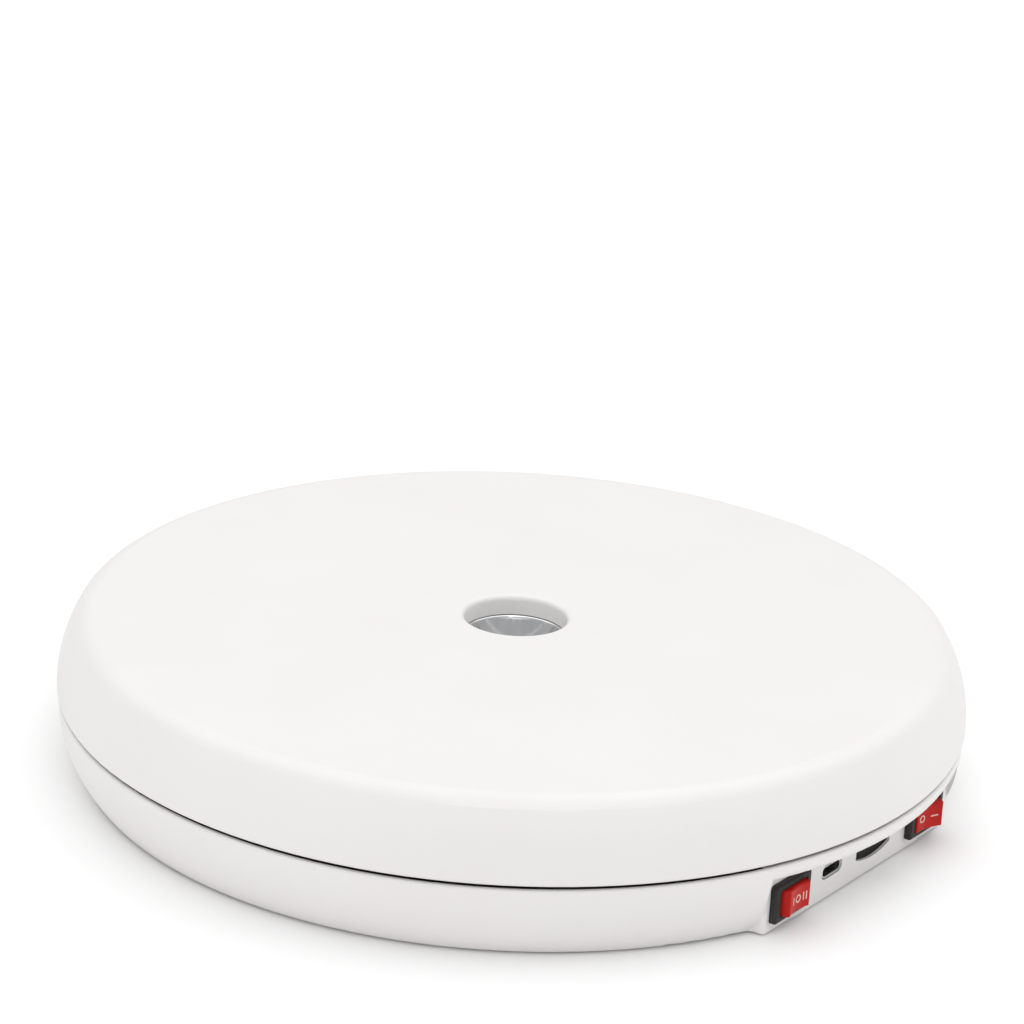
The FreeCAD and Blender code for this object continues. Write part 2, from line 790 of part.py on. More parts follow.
def make_platter_top():
    """The platter: a hollow disc with a rounded side, a hub for the bearing and a roller track."""
    top = cell("platter_top")
    side = cell("platter_side_arc")
    soft = cell("platter_top_round")
    edge = cell("platter_edge_round")
    radius = cell("platter_radius")
    arc_level = cell("platter_edge") + edge
    arc_radius = radius - side
    soft_level = top - soft
    soft_radius = arc_radius + chord(side - soft, soft_level - arc_level)
    reach = side / (side - soft)
    touch_radius = arc_radius + (soft_radius - arc_radius) * reach
    touch_level = arc_level + (soft_level - arc_level) * reach
    inner = side - cell("platter_wall")
    inner_radius = arc_radius + chord(inner, platter_ceiling - arc_level)
    track = cell("roller_width") / 2
    circle = cell("roller_circle")
    hub = cell("bearing_radius") + 4.5
    seat = cell("bearing_radius") - 1.4
    hole = cell("hole_radius")
    hole_round = cell("hole_round")
    collar = hole + cell("hole_collar")
    platter = turned("platter_turned", [
        (hole, cell("collar_bottom")),
        (collar, cell("collar_bottom")),
        (collar, platter_ceiling),
        (seat, platter_ceiling),
        (seat, bearing_top),
        (cell("bearing_radius"), bearing_top),
        (cell("bearing_radius"), cell("bearing_bottom")),
        (hub, cell("bearing_bottom")),
        (hub, platter_ceiling),
        (circle - track, platter_ceiling),
        (circle - track, track_bottom),
        (circle + track, track_bottom),
        (circle + track, platter_ceiling),
        (inner_radius, platter_ceiling),
        (arc_radius + inner, arc_level, inner, -1),
        (arc_radius + inner, cell("platter_edge")),
        (radius - edge, cell("platter_edge")),
        (radius, arc_level, edge, 1),
        (touch_radius, touch_level, side, 1),
        (soft_radius, top, soft, 1),
        (hole + hole_round, top),
        (hole, top - hole_round, hole_round, 1),
    ])
    pilots = []
    for number in range(3):
        x, y = polar(gear_screw_circle(), 30 + 120 * number)
        pilots.append(cylinder(f"hub_pilot_{number}", cell("screw_pilot"), 6, x, y,
                               cell("bearing_bottom")))
    finish(cut("platter_top", platter, pilots), "platter_top")


def gear_screw_circle():
    return cell("bearing_radius") + 2.25


def gear_blank(name, teeth, thickness):
    """An involute spur gear standing on the origin, with a tooth centred on +X."""
    builder = fcgear.FCWireBuilder()
    involute.CreateExternalGear(builder, cell("gear_module").number, teeth, PRESSURE_ANGLE)
    wire = Part.Wire([edge.toShape() for edge in builder.wire])
    blank = doc.addObject("Part::Feature", name)
    blank.Shape = Part.Face(wire).extrude(Vector(0, 0, as_size(thickness).number))
    return blank


def make_hub_gear():
    blank = gear_blank("hub_gear_blank", GEAR_TEETH, cell("gear_thickness"))
    place(blank, 0, 0, gear_bottom, about_z(90))
    drills = [cylinder("hub_gear_bore", cell("gear_bore"), 40)]
    screws = []
    for number in range(3):
        x, y = polar(gear_screw_circle(), 30 + 120 * number)
        drills.append(cylinder(f"gear_drill_{number}", cell("screw_pilot"), 40, x, y, 0))
        drills.append(cylinder(f"gear_sink_{number}", 2.4, gear_bottom + 1.8, x, y, 0))
        screws.append(screw(f"gear_screw_{number}", x, y, gear_bottom + 1.8, 2.2, 1.5,
                            cell("screw_shank"), 8, down=False))
    finish(cut("hub_gear", blank, drills), "hub_gear")
    finish(group("gear_screws", screws), "gear_screws")


def make_pinion():
    """The motor's pinion on its output shaft, in mesh with the hub gear."""
    blank = gear_blank("pinion_blank", PINION_TEETH, cell("gear_thickness") + 1)
    place(blank, 0, cell("shaft_distance"), gear_bottom - 0.5, about_z(90))
    bore = cylinder("pinion_bore", cell("shaft_radius"), 40, 0, cell("shaft_distance"), 0)
    finish(cut("pinion", blank, [bore]), "pinion")
    shaft = cylinder("motor_shaft", cell("shaft_radius"), 17, 0, cell("shaft_distance"), 12)
    finish(shaft, "motor_shaft")


def motor_centre():
    return cell("shaft_distance") + cell("motor_shaft_offset")


def make_motor():
    """A flat geared motor that hangs under the deck plate by two ears."""
    top = cell("deck_bottom")
    height = cell("motor_height")
    can = cylinder("motor_can", cell("motor_radius"), height, 0, motor_centre(), top - height)
    boss = cylinder("motor_boss", 4.6, 3.2, 0, cell("shaft_distance"), top - 0.5)
    ears = centred_box("motor_ears", 0, motor_centre(), top - 1.2,
                       cell("motor_ear_span") * 2 + 7, 7, 1.2)
    plug = centred_box("motor_socket", 0, motor_centre() - cell("motor_radius") - 2, 5, 10, 6, 6)
    drills = [cylinder("motor_shaft_hole", cell("shaft_hole_radius"), 20, 0,
                       cell("shaft_distance"), 11.8)]
    screws = []
    for side in (-1, 1):
        x = cell("motor_ear_span") * side
        drills.append(cylinder(f"motor_ear_hole_{side}", cell("screw_pilot"), 20, x,
                               motor_centre(), 10))
        screws.append(screw(f"motor_screw_{side}", x, motor_centre(), deck_top,
                            cell("screw_head"), 1.8, cell("screw_shank"), 6))
    case = fuse("motor_body", [can, boss, ears, plug])
    finish(cut("motor_case", case, drills), "motor_case")
    finish(group("motor_screws", screws), "motor_screws")


# ---------------------------------------------------------------- support rollers

def bracket_screw_place(degrees, side):
    """Where a bracket's screw stands: beside the roller, along its direction of travel."""
    x, y = polar(cell("roller_circle"), degrees)
    dx, dy = polar(8.0 * side, degrees + 90)
    return x + dx, y + dy


def make_rollers():
    """Four rollers that carry the platter's track, each on an axle in a forked bracket."""
    plate = cell("bracket_plate")
    inner = cell("roller_width") / 2 + 0.4
    outer = inner + plate
    axis_level = cell("roller_axis_height")
    cheek_top = axis_level + 3
    screws = []
    for number, degrees in enumerate(ROLLER_ANGLES, start=1):
        x, y = polar(cell("roller_circle"), degrees)
        fork = extruded(f"fork_{number}", "XZ_Plane", [
            (-outer, deck_top),
            (outer, deck_top),
            (outer, cheek_top),
            (inner, cheek_top),
            (inner, deck_top + plate),
            (-inner, deck_top + plate),
            (-inner, cheek_top),
            (-outer, cheek_top),
        ], 8, midplane=True)
        place(fork, x, y, 0, about_z(degrees))
        plate_box = box(f"fork_plate_{number}", 0, 0, 0, outer * 2, 23, plate)
        corner_x = x - polar(outer, degrees)[0] + polar(11.5, degrees - 90)[0]
        corner_y = y - polar(outer, degrees)[1] + polar(11.5, degrees - 90)[1]
        place(plate_box, corner_x, corner_y, deck_top, about_z(degrees))
        turn = about_z(degrees) * ALONG_X
        start_x, start_y = polar(cell("roller_circle") - outer, degrees)
        drills = [cylinder(f"fork_bore_{number}", cell("axle_radius"), outer * 2, start_x, start_y,
                           axis_level, turn)]
        for side in (-1, 1):
            screw_x, screw_y = bracket_screw_place(degrees, side)
            drills.append(cylinder(f"fork_drill_{number}_{side}", cell("screw_pilot"), 30, screw_x,
                                   screw_y, 0))
            screws.append(screw(f"bracket_screw_{number}_{side}", screw_x, screw_y,
                                deck_top + plate, 2.4, 1.5, cell("screw_shank"), 3.9))
        bracket = cut(f"roller_bracket_{number}", fuse(f"bracket_body_{number}", [fork, plate_box]),
                      drills)
        finish(bracket, f"roller_bracket_{number}")
        axle = cylinder(f"roller_axle_{number}", cell("axle_radius"), outer * 2, start_x, start_y,
                        axis_level, turn)
        finish(axle, f"roller_axle_{number}")
        wheel_x, wheel_y = polar(cell("roller_circle") - cell("roller_width") / 2, degrees)
        wheel = cylinder(f"wheel_{number}", cell("roller_radius"), cell("roller_width"), wheel_x,
                         wheel_y, axis_level, turn)
        bore = cylinder(f"wheel_bore_{number}", cell("roller_bore"), cell("roller_width"), wheel_x,
                        wheel_y, axis_level, turn)
        finish(cut(f"roller_{number}", wheel, [bore]), f"roller_{number}")
    finish(group("bracket_screws", screws), "bracket_screws")


# ---------------------------------------------------------------- rocker switches

def make_switch_housing(side):
    """A snap-in switch: bezel outside the panel, body behind it, open pocket for the rocker."""
    label = f"{side}_switch_housing"
    x = cell(f"{side}_switch_offset")
    face = -cell("panel_distance")
    level = cell("switch_level")
    bezel_box = centred_box(f"{label}_bezel_box", x, face - cell("bezel_depth") / 2,
                            level - cell("bezel_height") / 2, cell("bezel_width"),
                            cell("bezel_depth"), cell("bezel_height"))
    bezel = rounded(f"{label}_bezel", bezel_box, cell("bezel_round"), is_bezel_edge)
    body = box(f"{label}_body", x - cell("housing_width") / 2, face,
               level - cell("housing_height") / 2, cell("housing_width"), cell("housing_depth"),
               cell("housing_height"))
    pocket = box(f"{label}_pocket", x - cell("pocket_width") / 2, face - 5,
                 level - cell("pocket_height") / 2, cell("pocket_width"),
                 cell("pocket_depth") + 5, cell("pocket_height"))
    pivot = cylinder(f"{label}_pivot", cell("pivot_hole_radius"), cell("housing_height") - 0.1, x,
                     face + cell("pivot_depth"), level - cell("housing_height") / 2 + 0.05)
    whole = fuse(f"{label}_whole", [bezel, body])
    return finish(cut(label, whole, [pocket, pivot]), label)


def is_bezel_edge(edge):
    """All the bezel's edges except those on the panel."""
    return edge.BoundBox.YMin < -cell("panel_distance").number - 0.5


def make_switch_terminals(side, places):
    """Brass blades at the back of a switch."""
    label = f"{side}_switch_terminals"
    back = cell("housing_depth") - cell("panel_distance")
    blades = []
    for number, place_x in enumerate(places):
        blades.append(centred_box(f"{label}_{number}", cell(f"{side}_switch_offset") + place_x,
                                  back + 3, cell("switch_level") - 2.4, 0.8, 6, 4.8))
    finish(group(label, blades), label)


def make_rocker(side, tilt):
    """A rocker on two stub pins, with a face that dips slightly towards the middle."""
    label = f"{side}_rocker"
    half = cell("rocker_face_half")
    rise = cell("rocker_face_rise")
    barrel = cell("rocker_barrel")
    waist = 2.6
    back = 2.0
    dip = cell("rocker_face_dip")
    hollow = (half * half + dip * dip) / (dip * 2)
    body = extruded(label, "XY_Plane", [
        (-half, -rise),
        (half, -rise, hollow, -1),
        (chord(barrel, as_size(waist)), -waist),
        (chord(barrel, as_size(back)), back, barrel, 1),
        (-chord(barrel, as_size(back)), back),
        (-chord(barrel, as_size(waist)), -waist, barrel, 1),
    ], cell("rocker_height"), midplane=True)
    doc.recompute()
    pad = body.Tip
    edges = [f"Edge{i}" for i, edge in enumerate(pad.Shape.Edges, start=1)
             if edge.BoundBox.YMax < -waist - 1]
    soft = body.newObject("PartDesign::Fillet", f"{label}_soft")
    soft.Base = (pad, edges)
    soft.Radius = 0.45
    body.Tip = soft
    doc.recompute()
    pins = body.newObject("Sketcher::SketchObject", f"{label}_pin_outline")
    pins.AttachmentSupport = [(origin_plane(body, "XY_Plane"), "")]
    pins.MapMode = "FlatFace"
    circle = pins.addGeometry(Part.Circle(Vector(), Vector(0, 0, 1),
                                          cell("pivot_pin_radius").number), False)
    pins.addConstraint(Sketcher.Constraint("Coincident", circle, 3, -1, 1))
    index = pins.addConstraint(Sketcher.Constraint("Radius", circle,
                                                   cell("pivot_pin_radius").number))
    pins.setExpression(f"Constraints[{index}]", cell("pivot_pin_radius").formula)
    pin_pad = body.newObject("PartDesign::Pad", f"{label}_pins")
    pin_pad.Profile = pins
    pin_pad.Midplane = True
    bind(pin_pad, Length=cell("housing_height") - 0.3)
    body.Tip = pin_pad
    place(body, cell(f"{side}_switch_offset"), cell("pivot_depth") - cell("panel_distance"),
          cell("switch_level"), about_z(tilt))
    finish(body, label)


def make_switches():
    make_switch_housing("left")
    make_switch_housing("right")
    make_switch_terminals("left", (-4.5, 0, 4.5))
    make_switch_terminals("right", (-3.5, 3.5))
    make_rocker("left", 0)
    make_rocker("right", -cell("rocker_throw").number)


# ---------------------------------------------------------------- electronics

def board_screw_place(side):
    return cell("board_half_width") * side * 0.8, board_back - 3


def make_main_board():
    board = box("board_plate", -cell("board_half_width"), -board_front, board_bottom,
                cell("board_half_width") * 2, cell("board_depth"), cell("board_thickness"))
    chip = centred_box("board_chip", -4, board_back - 6, board_top, 7, 7, 1.2)
    coil = cylinder("board_coil", 3, 3, 7, board_back - 6, board_top)
    drills = []
    screws = []
    for side in (-1, 1):
        x, y = board_screw_place(side)
        drills.append(cylinder(f"board_drill_{side}", cell("screw_clearance"), 20, x, y, 0))
        screws.append(screw(f"board_screw_{side}", x, y, board_top, 2.4, 1.4,
                            cell("screw_shank"), 4))
    finish(cut("main_board", fuse("board_body", [board, chip, coil]), drills), "main_board")
    finish(group("board_screws", screws), "board_screws")


def make_usb_port():
    """A steel socket shell with a dark tongue inside."""
    front = 0.25 - cell("panel_distance")
    depth = 7.4
    width = cell("usb_width")
    height = cell("usb_height")
    wall = 0.3
    outer = centred_box("usb_outer_box", cell("usb_offset"), front + depth / 2,
                        cell("usb_level") - height / 2, width, depth, height)
    inner = centred_box("usb_inner_box", cell("usb_offset"), front + depth / 2 - wall,
                        cell("usb_level") - height / 2 + wall, width - wall * 2, depth,
                        height - wall * 2)
    shell = rounded("usb_outer", outer, height / 2 - 0.1, runs_along_y)
    room = rounded("usb_inner", inner, height / 2 - wall - 0.1, runs_along_y)
    finish(cut("usb_port_shell", shell, [room]), "usb_port_shell")
    back = front + depth - wall
    tongue = centred_box("usb_tongue_blade", cell("usb_offset"), back - 2.4, cell("usb_level") - 0.35,
                         6.6, 4.8, 0.7)
    plug = centred_box("usb_tongue_root", cell("usb_offset"), back - 0.4, cell("usb_level") - 0.9,
                       7.0, 0.8, 1.8)
    finish(fuse("usb_port_tongue", [tongue, plug]), "usb_port_tongue")


def make_card_socket():
    """A card socket on the board, with a front plate that closes the panel's slot from behind."""
    x = cell("card_offset")
    depth = cell("card_socket_depth")
    front = cell("card_wall") + 0.05 - cell("panel_distance")
    body = centred_box("card_body", x, front + 1 + depth / 2, board_top,
                       cell("card_socket_width"), depth, 2.0)
    plate = centred_box("card_plate", x, front + cell("card_plate_thickness") / 2,
                        cell("card_plate_level") - cell("card_plate_height") / 2,
                        cell("card_plate_width"), cell("card_plate_thickness"),
                        cell("card_plate_height"))
    slot = centred_box("card_room", x, front + depth / 2 - 1, board_top + 0.5,
                       cell("card_socket_room"), depth, 1)
    finish(cut("card_socket", fuse("card_socket_whole", [body, plate]), [slot]), "card_socket")


def make_indicator_lamp():
    """A small round lamp behind its hole, on two legs down to the board."""
    front = 0.9 - cell("panel_distance")
    level = cell("lamp_level")
    x = cell("lamp_offset")
    lens = cylinder("lamp_lens", cell("lamp_radius"), 4, x, front, level, INTO_PANEL)
    collar = cylinder("lamp_collar", cell("lamp_radius") + 0.4, 0.8, x, front + 3.2, level, INTO_PANEL)
    legs = []
    width = cell("lamp_leg_width")
    for side in (-1, 1):
        leg_x = x + cell("lamp_leg_spacing") * side
        legs.append(centred_box(f"lamp_leg_{side}", leg_x, front + 3.6, board_top, width, width,
                                level - board_top))
    finish(fuse("indicator_lamp", [lens, collar] + legs), "indicator_lamp")


def make_battery():
    body = centred_box("battery_block", cell("battery_x"), cell("battery_y"), floor_top,
                       cell("battery_width"), cell("battery_length"), cell("battery_height"))
    soft = rounded("battery_pack", body, 1.5, runs_along_y)
    finish(soft, "battery_pack")


def make_speaker():
    """A thin loudspeaker that faces down through the holes in the floor, with a terminal lug."""
    x, y = cell("speaker_x"), cell("speaker_y")
    outer = cell("speaker_radius")
    inner = cell("speaker_inner_radius")
    back = floor_top + cell("speaker_height")
    basket = turned("speaker_basket", [
        (inner, floor_top),
        (outer, floor_top),
        (outer, floor_top + 1.6),
        (12.0, back),
        (8.0, back),
        (8.0, back - 1.0),
        (11.6, back - 1.0),
        (inner, floor_top + 1.8),
    ])
    lug = box("speaker_lug_block", x - 3, y - cell("speaker_lug"), floor_top, 6,
              cell("speaker_lug") - inner - 0.1, 3.4)
    finish(fuse("speaker_frame", [place(basket, x, y, 0), lug]), "speaker_frame")
    cone = turned("speaker_cone", [
        (0, floor_top + 3.0),
        (5.0, floor_top + 3.0),
        (inner - 0.1, floor_top + 0.6),
        (inner - 0.1, floor_top + 1.2),
        (5.2, floor_top + 3.6),
        (0, floor_top + 3.6),
    ])
    finish(place(cone, x, y, 0), "speaker_cone")
    magnet = cylinder("speaker_magnet", cell("magnet_radius"), cell("magnet_height"), x, y, back)
    finish(magnet, "speaker_magnet")


def make_lead(label, points):
    """A round lead along straight runs joined by tangent arcs."""
    points = [Vector(*[as_size(v).number for v in point]) for point in points]
    edges = []
    start = points[0]
    for before, corner, after in zip(points, points[1:], points[2:]):
        incoming = (corner - before).normalize()
        outgoing = (after - corner).normalize()
        reach = 0.45 * min((corner - before).Length, (after - corner).Length)
        first = corner - incoming * reach
        last = corner + outgoing * reach
        half_turn = incoming.getAngle(outgoing) / 2
        bisector = (outgoing - incoming).normalize()
        bend = reach / math.tan(half_turn)
        centre = corner + bisector * math.hypot(bend, reach)
        middle = centre - bisector * bend
        edges.append(Part.LineSegment(start, first).toShape())
        edges.append(Part.Arc(first, middle, last).toShape())
        start = last
    edges.append(Part.LineSegment(start, points[-1]).toShape())
    path = Part.Wire(edges)
    direction = (points[1] - points[0]).normalize()
    circle = Part.Circle(points[0], direction, cell("lead_radius").number)
    section = Part.Wire(circle.toShape())
    lead = doc.addObject("Part::Feature", label)
    lead.Shape = path.makePipeShell([section], True, False)
    finish(lead, label)


def make_leads():
    """Leads from the motor, the lamp board, the battery and the speaker to the main board.

    Each one leaves its part and enters the board's back edge square to the face it meets.
    """
    run = cell("lead_run")
    level = board_bottom + cell("board_thickness") / 2
    motor_front = motor_centre() - cell("motor_radius") - 5
    make_lead("motor_lead", [(0, motor_front, 8), (0, motor_front - run, 8), (-12, -6, 5.6),
                             (-12, -50, 5.4), (-9, board_back + run, level),
                             (-9, board_back, level)])
    make_lead("led_lead", [(0, 0, deck_top), (0, 0, 13), (4, -9, 7), (10, -40, 6),
                           (6, board_back + run, level), (6, board_back, level)])
    battery_front = cell("battery_y") - cell("battery_length") / 2
    make_lead("battery_lead", [(50, battery_front, 7), (50, battery_front - run, 7),
                               (36, -40, 6), (16, board_back + run, level),
                               (16, board_back, level)])
    lug_front = cell("speaker_y") - cell("speaker_lug")
    lug_level = floor_top + 2
    make_lead("speaker_lead", [(cell("speaker_x"), lug_front, lug_level),
                               (cell("speaker_x"), lug_front - run, lug_level), (-34, -36, 6),
                               (-15, board_back + run, level), (-15, board_back, level)])


# ---------------------------------------------------------------- build, check and write

def build():
    make_base_shell()
    make_feet()
    make_deck_plate()
    make_deck_screws()
    make_center_column()
    make_column_screws()
    make_retaining_ring()
    make_bearing()
    make_lit_well()
    make_platter_top()
    make_hub_gear()
    make_pinion()
    make_motor()
    make_rollers()
    make_switches()
    make_main_board()
    make_usb_port()
    make_card_socket()
    make_indicator_lamp()
    make_battery()
    make_speaker()
    make_leads()
    doc.recompute()


def check_and_write():
    for item in doc.Objects:
        if "Invalid" in item.State or "Error" in item.State:
            raise ValueError(f"{item.Label} failed: {item.State}")
    os.makedirs("parts", exist_ok=True)
    for item in finished:
        shape = item.Shape
        if shape.isNull() or not shape.isValid() or not shape.Solids:
            raise ValueError(f"{item.Label} has no valid solid")
        print(f"{item.Label}: {len(shape.Solids)} solid(s), {shape.Volume:.1f} mm3")
    for item in finished:
        item.Shape.exportStep(f"parts/{item.Label}.step")


build()
check_and_write()
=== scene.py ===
"""Looks of the turntable display stand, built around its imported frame."""

import math

import bmesh
import bpy
from mathutils import Matrix, Vector


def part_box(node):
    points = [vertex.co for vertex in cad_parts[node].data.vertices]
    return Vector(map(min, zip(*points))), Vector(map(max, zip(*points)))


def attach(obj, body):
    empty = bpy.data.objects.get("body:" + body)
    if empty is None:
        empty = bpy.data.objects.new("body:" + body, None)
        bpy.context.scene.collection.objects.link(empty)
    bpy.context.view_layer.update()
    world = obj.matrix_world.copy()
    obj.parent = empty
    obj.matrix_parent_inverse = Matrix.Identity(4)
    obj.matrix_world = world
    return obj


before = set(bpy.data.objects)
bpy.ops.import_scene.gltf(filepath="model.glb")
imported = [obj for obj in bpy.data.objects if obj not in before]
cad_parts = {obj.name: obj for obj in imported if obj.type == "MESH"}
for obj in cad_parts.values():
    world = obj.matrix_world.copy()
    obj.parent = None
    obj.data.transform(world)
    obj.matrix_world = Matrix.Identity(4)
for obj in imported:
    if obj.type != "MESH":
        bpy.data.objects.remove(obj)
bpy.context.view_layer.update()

MM = 0.001
NOISE_SPAN = (0.3, 0.7)                                # most of a noise lies between these

# ------------------------------------------------------------------ places on the object

ROCKER_REST_TURN = {"left": 0.0, "right": -15.0}      # degrees about the pin
ROCKER_FACE_RISE = 4.7 * MM                           # pin to the middle of the face
ROCKER_FACE_HOLLOW = 15.8 * MM                        # radius of the face's dip
BEZEL_TO_PIN = 3.5 * MM                               # bezel's front to the pin

# The marks' places across each rocker's face, from its middle.
MARK_PROUD = 0.05 * MM
MARK_SUNK = 0.12 * MM
MARK_STROKE = 0.36 * MM
BAR_HALF_HEIGHT = 1.0 * MM
LEFT_BARS = (-2.4 * MM, 2.2 * MM, 3.3 * MM)
LEFT_RING = -0.05 * MM
LEFT_RING_RADIUS = 0.95 * MM
RIGHT_RING = -2.5 * MM
RIGHT_RING_RADIUS = 0.9 * MM
RIGHT_DASH = (1.0 * MM, 3.1 * MM)


# ------------------------------------------------------------------ node helpers

class Recipe:
    """A material's node tree with short calls for what each finish is mixed from."""

    def __init__(self, name):
        self.material = bpy.data.materials.new(name)
        self.material.use_nodes = True
        self.tree = self.material.node_tree
        self.shader = self.tree.nodes["Principled BSDF"]
        self.place = self.tree.nodes.new("ShaderNodeTexCoord").outputs["Object"]

    def node(self, kind, **settings):
        made = self.tree.nodes.new(kind)
        for name, value in settings.items():
            setattr(made, name, value)
        return made

    def link(self, source, socket):
        self.tree.links.new(source, socket)

    def stretched(self, factors):
        """The object's own coordinates, scaled by three factors."""
        mapping = self.node("ShaderNodeMapping")
        mapping.inputs["Scale"].default_value = factors
        self.link(self.place, mapping.inputs["Vector"])
        return mapping.outputs["Vector"]

    def noise(self, grain, detail=2.0, place=None, rough=0.5):
        """Cloudy noise with features about grain metres wide."""
        made = self.node("ShaderNodeTexNoise")
        made.inputs["Scale"].default_value = 1.0 / grain
        made.inputs["Detail"].default_value = detail
        made.inputs["Roughness"].default_value = rough
        self.link(place or self.place, made.inputs["Vector"])
        return made.outputs["Fac"]

    def ranged(self, source, low, high, start=0.0, end=1.0):
        """The source between start and end, spread over low to high."""
        made = self.node("ShaderNodeMapRange")
        made.inputs["From Min"].default_value = start
        made.inputs["From Max"].default_value = end
        made.inputs["To Min"].default_value = low
        made.inputs["To Max"].default_value = high
        self.link(source, made.inputs["Value"])
        return made.outputs["Result"]

    def colours(self, share, first, second):
        """A mix from the first colour at share 0 to the second at share 1."""
        made = self.node("ShaderNodeMix", data_type="RGBA")
        made.inputs["A"].default_value = (*first, 1.0)
        made.inputs["B"].default_value = (*second, 1.0)
        self.link(share, made.inputs["Factor"])
        return made.outputs["Result"]

    def colour(self, source):
        self.link(source, self.shader.inputs["Base Color"])

    def rough(self, source):
        self.link(source, self.shader.inputs["Roughness"])

    def relief(self, source, height):
        """Raises the surface by up to height metres where the source is 1."""
        made = self.node("ShaderNodeBump")
        made.inputs["Strength"].default_value = 1.0
        made.inputs["Distance"].default_value = height
        self.link(source, made.inputs["Height"])
        self.link(made.outputs["Normal"], self.shader.inputs["Normal"])

    def set(self, **values):
        for name, value in values.items():
            self.shader.inputs[name.replace("_", " ")].default_value = value


# ------------------------------------------------------------------ materials

def plastic(name, first, second, grain, texture, low=0.38, high=0.5, cloud=18 * MM):
    """Moulded plastic: a faint cloudy tone, spark-eroded texture and uneven gloss."""
    recipe = Recipe(name)
    tone = recipe.noise(cloud, 3.0)
    recipe.colour(recipe.colours(recipe.ranged(tone, 0, 1, *NOISE_SPAN), first, second))
    fine = recipe.noise(grain, 2.0)
    recipe.rough(recipe.ranged(fine, low, high, *NOISE_SPAN))
    recipe.relief(fine, texture)
    return recipe


def metal(name, first, second, low, high, streak=(1, 1, 1), grain=0.6 * MM, texture=0.002 * MM):
    """Bare metal with a slight change of tone and fine marks, drawn out along one way."""
    recipe = Recipe(name)
    place = recipe.stretched(streak)
    tone = recipe.noise(6 * MM, 3.0)
    recipe.colour(recipe.colours(recipe.ranged(tone, 0, 1, *NOISE_SPAN), first, second))
    fine = recipe.noise(grain, 3.0, place)
    recipe.rough(recipe.ranged(fine, low, high, *NOISE_SPAN))
    recipe.relief(fine, texture)
    recipe.set(Metallic=1.0)
    return recipe


def white_shell():
    recipe = plastic("white_shell", (0.8, 0.782, 0.772), (0.815, 0.8, 0.79),
                     0.55 * MM, 0.0035 * MM, 0.4, 0.5, 40 * MM)
    recipe.set(IOR=1.46, Specular_IOR_Level=0.4)
    return recipe.material


def rubber_foot():
    return plastic("rubber_foot", (0.028, 0.028, 0.03), (0.045, 0.044, 0.044),
                   0.4 * MM, 0.02 * MM, 0.7, 0.85, 3 * MM).material


# Near-black deck: its skirt is what shows through the seam gap, and its dark colour paints the
# deep shade in that gap.
def dark_deck():
    return plastic("dark_deck", (0.022, 0.021, 0.021), (0.034, 0.033, 0.033),
                   0.6 * MM, 0.01 * MM, 0.5, 0.65).material


def grey_column():
    return plastic("grey_column", (0.62, 0.62, 0.62), (0.68, 0.68, 0.67),
                   0.5 * MM, 0.006 * MM).material


def gear_plastic():
    return plastic("gear_plastic", (0.74, 0.72, 0.64), (0.8, 0.78, 0.71),
                   0.5 * MM, 0.004 * MM, 0.32, 0.42, 6 * MM).material


def bracket_plastic():
    return plastic("bracket_plastic", (0.05, 0.05, 0.054), (0.075, 0.075, 0.08),
                   0.5 * MM, 0.006 * MM).material


def roller_nylon():
    return plastic("roller_nylon", (0.72, 0.71, 0.68), (0.78, 0.77, 0.74),
                   0.5 * MM, 0.003 * MM, 0.3, 0.4, 4 * MM).material


def switch_black():
    recipe = plastic("switch_black", (0.019, 0.018, 0.017), (0.027, 0.026, 0.024),
                     0.28 * MM, 0.012 * MM, 0.42, 0.56, 4 * MM)
    recipe.set(Specular_IOR_Level=0.28)
    return recipe.material


def switch_red():
    recipe = plastic("switch_red", (0.46, 0.009, 0.006), (0.51, 0.014, 0.009),
                     0.3 * MM, 0.004 * MM, 0.3, 0.4, 5 * MM)
    recipe.set(Specular_IOR_Level=0.15, Subsurface_Weight=0.06,
               Subsurface_Radius=(0.0012, 0.0003, 0.0002))
    return recipe.material


def switch_print():
    """The pale ink of the switch marks."""
    return plastic("switch_print", (0.76, 0.5, 0.45), (0.84, 0.62, 0.57),
                   0.2 * MM, 0.004 * MM, 0.45, 0.6, 1.5 * MM).material


def lamp_lens():
    recipe = plastic("lamp_lens", (0.2, 0.2, 0.2), (0.3, 0.295, 0.29),
                     0.4 * MM, 0.003 * MM, 0.18, 0.3, 1.2 * MM)
    recipe.set(Coat_Weight=0.4, Coat_Roughness=0.08)
    return recipe.material


def socket_black():
    recipe = plastic("socket_black", (0.006, 0.006, 0.006), (0.011, 0.01, 0.01),
                     0.3 * MM, 0.006 * MM, 0.5, 0.65, 3 * MM)
    recipe.set(Specular_IOR_Level=0.2)
    return recipe.material


def battery_wrap():
    """Shrink film over the cell: glossy and slightly creased."""
    recipe = Recipe("battery_wrap")
    tone = recipe.noise(14 * MM, 2.0)
    recipe.colour(recipe.colours(tone, (0.02, 0.06, 0.26), (0.035, 0.09, 0.34)))
    crease = recipe.noise(5 * MM, 4.0, recipe.stretched((1, 0.25, 1)))
    recipe.rough(recipe.ranged(crease, 0.2, 0.38, *NOISE_SPAN))
    recipe.relief(crease, 0.25 * MM)
    return recipe.material


def speaker_paper():
    """Pressed paper pulp with short fibres."""
    recipe = Recipe("speaker_paper")
    fibre = recipe.noise(0.5 * MM, 5.0, recipe.stretched((1, 1, 0.4)), 0.7)
    recipe.colour(recipe.colours(fibre, (0.02, 0.019, 0.018), (0.06, 0.057, 0.053)))
    recipe.rough(recipe.ranged(fibre, 0.75, 0.95))
    recipe.relief(fibre, 0.06 * MM)
    return recipe.material


def lead_jacket():
    return plastic("lead_jacket", (0.4, 0.018, 0.014), (0.47, 0.028, 0.02),
                   0.5 * MM, 0.01 * MM, 0.38, 0.5, 8 * MM).material


